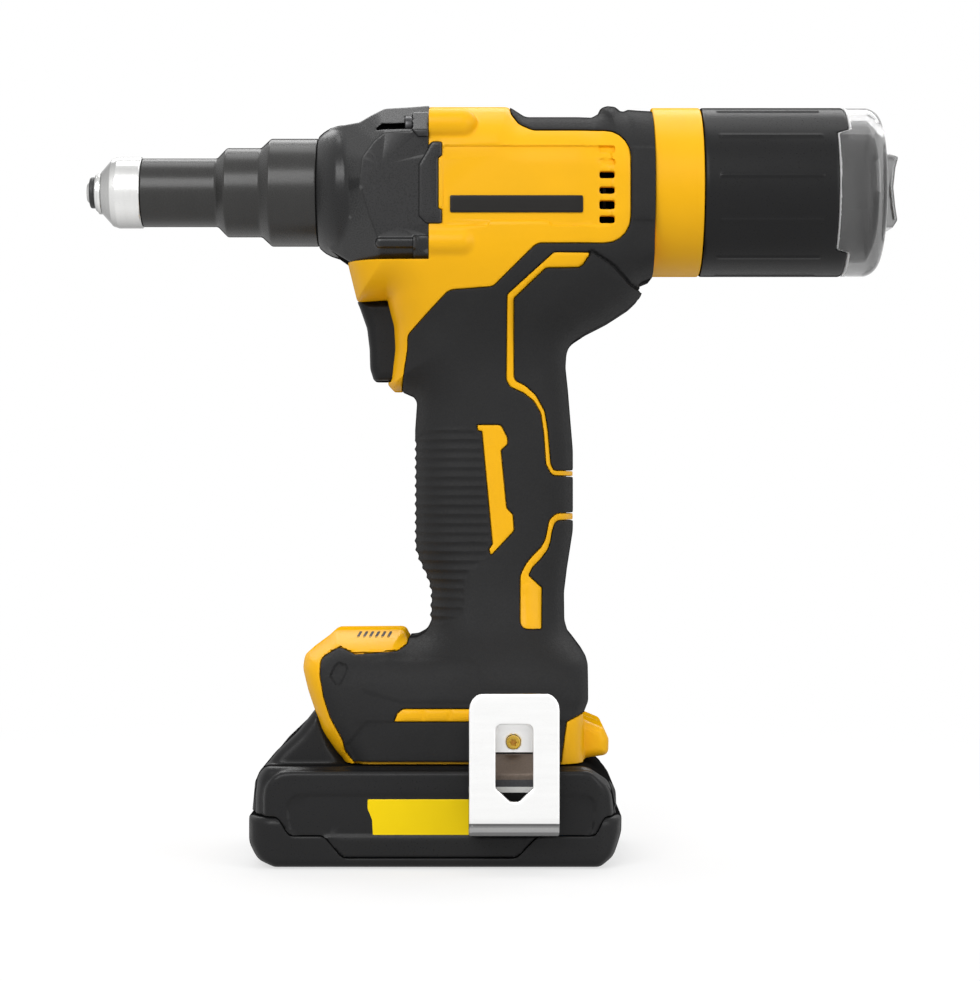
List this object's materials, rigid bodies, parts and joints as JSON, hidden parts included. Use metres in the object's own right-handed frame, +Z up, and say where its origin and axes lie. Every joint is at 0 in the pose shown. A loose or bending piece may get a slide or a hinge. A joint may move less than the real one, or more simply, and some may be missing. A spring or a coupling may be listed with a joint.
{
  "type": "battery rivet tool",
  "caption": "Pistol-grip cordless blind rivet tool: stepped nose, inline hollow-shaft motor and ball screw, mandrel collector, trigger, belt hook and slide-on battery pack.",
  "frame": {"origin": "centre of the battery pack's flat base, which the tool stands on", "axes": "+Z up, nose points along -X, collector along +X, the pictured left side faces -Y"},
  "size_m": [0.2528, 0.0894, 0.2326],
  "materials": {
    "yellow_plastic": "moulded yellow nylon, fine satin texture",
    "grip_rubber": "soft dark overmoulded rubber, matt",
    "dark_plastic": "dark grey glass-filled nylon, fine grain",
    "nose_black": "black oxide turned steel, satin",
    "pack_plastic": "black moulded plastic, satin",
    "bright_steel": "bright turned or brushed steel",
    "tool_steel": "ground steel",
    "black_steel": "black oxide screws",
    "zinc_steel": "yellow zinc plated screw",
    "cast_alloy": "die-cast alloy",
    "lamination_steel": "stacked electrical steel",
    "copper": "enamelled copper wire",
    "smoke_clear": "smoky clear polycarbonate",
    "lens_clear": "clear lens",
    "seal_rubber": "black rubber ring",
    "wire_jacket": "silicone wire jacket",
    "cell_can": "sleeved cell can",
    "board_green": "circuit board"
  },
  "bodies": {
    "tool": {"housing_left": "yellow_plastic", "housing_right": "yellow_plastic", "grip_left": "grip_rubber", "grip_right": "grip_rubber", "housing_screws": "black_steel", "gear_case": "dark_plastic", "case_screws": "black_steel", "nose_housing": "nose_black", "nose_cap": "bright_steel", "nosepiece": "bright_steel", "nosepiece_seal": "seal_rubber", "thrust_bearing": "tool_steel", "nut_bearing": "tool_steel", "ring_gear": "tool_steel", "bearing_plate": "cast_alloy", "motor_bearings": "tool_steel", "stator": "lamination_steel", "windings": "copper", "collector_mount": "yellow_plastic", "trigger_spring": "tool_steel", "switch_module": "dark_plastic", "control_module": "dark_plastic", "motor_leads": "wire_jacket", "supply_leads": "wire_jacket", "terminal_block": "dark_plastic", "work_light": "lens_clear", "belt_hook": "bright_steel", "hook_screw": "zinc_steel"},
    "nut": {"ball_nut": "tool_steel", "planet_carrier": "tool_steel", "planet_pins": "tool_steel"},
    "rotor": {"motor_shaft": "tool_steel", "rotor_core": "lamination_steel", "cooling_fan": "dark_plastic"},
    "planet_one": {"planet_1": "tool_steel"},
    "planet_two": {"planet_2": "tool_steel"},
    "planet_three": {"planet_3": "tool_steel"},
    "pull_head": {"jaw_case": "tool_steel", "jaw_spring": "tool_steel", "pull_screw": "tool_steel", "mandrel_tube": "tool_steel"},
    "jaw_one": {"jaw_1": "tool_steel"},
    "jaw_two": {"jaw_2": "tool_steel"},
    "jaw_three": {"jaw_3": "tool_steel"},
    "pusher": {"jaw_pusher": "tool_steel"},
    "collector": {"collector_sleeve": "dark_plastic", "collector_cup": "smoke_clear"},
    "trigger_body": {"trigger": "dark_plastic"},
    "battery": {"battery_lower_shell": "pack_plastic", "battery_upper_shell": "pack_plastic", "battery_screws": "black_steel", "release_spring": "tool_steel", "battery_cells": "cell_can", "cell_frame": "dark_plastic", "battery_board": "board_green"},
    "release": {"release_button": "yellow_plastic"}
  },
  "joints": [
    {"name": "nut_spin", "type": "hinge", "parent": "tool", "child": "nut", "pos_m": [0, 0, 0.2055], "axis": [1, 0, 0], "range_deg": [0, 3000]},
    {"name": "rotor_spin", "type": "hinge", "parent": "tool", "child": "rotor", "pos_m": [0, 0, 0.2055], "axis": [1, 0, 0], "range_deg": [0, 16500]},
    {"name": "planet_one_spin", "type": "hinge", "parent": "nut", "child": "planet_one", "pos_m": [0.024, 0, 0.19478], "axis": [1, 0, 0], "range_deg": [-7714.3, 0]},
    {"name": "planet_two_spin", "type": "hinge", "parent": "nut", "child": "planet_two", "pos_m": [0.024, 0.00929, 0.21086], "axis": [1, 0, 0], "range_deg": [-7714.3, 0]},
    {"name": "planet_three_spin", "type": "hinge", "parent": "nut", "child": "planet_three", "pos_m": [0.024, -0.00929, 0.21086], "axis": [1, 0, 0], "range_deg": [-7714.3, 0]},
    {"name": "pull_stroke", "type": "slide", "parent": "tool", "child": "pull_head", "axis": [1, 0, 0], "range_m": [0, 0.025]},
    {"name": "jaw_one_close", "type": "slide", "parent": "pull_head", "child": "jaw_one", "axis": [-0.9925, 0, 0.1219], "range_m": [0, 0.0015]},
    {"name": "jaw_two_close", "type": "slide", "parent": "pull_head", "child": "jaw_two", "axis": [-0.9925, -0.1055, -0.0609], "range_m": [0, 0.0015]},
    {"name": "jaw_three_close", "type": "slide", "parent": "pull_head", "child": "jaw_three", "axis": [-0.9925, 0.1055, -0.0609], "range_m": [0, 0.0015]},
    {"name": "pusher_follow", "type": "slide", "parent": "pull_head", "child": "pusher", "axis": [-1, 0, 0], "range_m": [0, 0.0015]},
    {"name": "trigger_pull", "type": "slide", "parent": "tool", "child": "trigger_body", "axis": [1, 0, 0], "range_m": [0, 0.006], "stiffness_N_per_m": 800, "springref_m": -0.003, "deforming": ["trigger_spring"]},
    {"name": "collector_twist", "type": "hinge", "parent": "tool", "child": "collector", "pos_m": [0, 0, 0.2055], "axis": [1, 0, 0], "range_deg": [0, 30]},
    {"name": "battery_slide", "type": "slide", "parent": "tool", "child": "battery", "axis": [-1, 0, 0], "range_m": [0, 0.09]},
    {"name": "release_press", "type": "slide", "parent": "battery", "child": "release", "axis": [1, 0, 0], "range_m": [0, 0.0035], "stiffness_N_per_m": 700, "springref_m": -0.002, "deforming": ["release_spring"]}
  ],
  "couplings": [
    {"joint": "rotor_spin", "follows": "nut_spin", "ratio": 5.5},
    {"joint": "planet_one_spin", "follows": "nut_spin", "ratio": -2.5714},
    {"joint": "planet_two_spin", "follows": "nut_spin", "ratio": -2.5714},
    {"joint": "planet_three_spin", "follows": "nut_spin", "ratio": -2.5714},
    {"joint": "pull_stroke", "follows": "nut_spin", "m_per_rad": 0.00047746},
    {"joint": "jaw_one_close", "follows": "nut_spin", "m_per_rad": 0.0000286},
    {"joint": "jaw_two_close", "follows": "nut_spin", "m_per_rad": 0.0000286},
    {"joint": "jaw_three_close", "follows": "nut_spin", "m_per_rad": 0.0000286},
    {"joint": "pusher_follow", "follows": "nut_spin", "m_per_rad": 0.00002838}
  ]
}
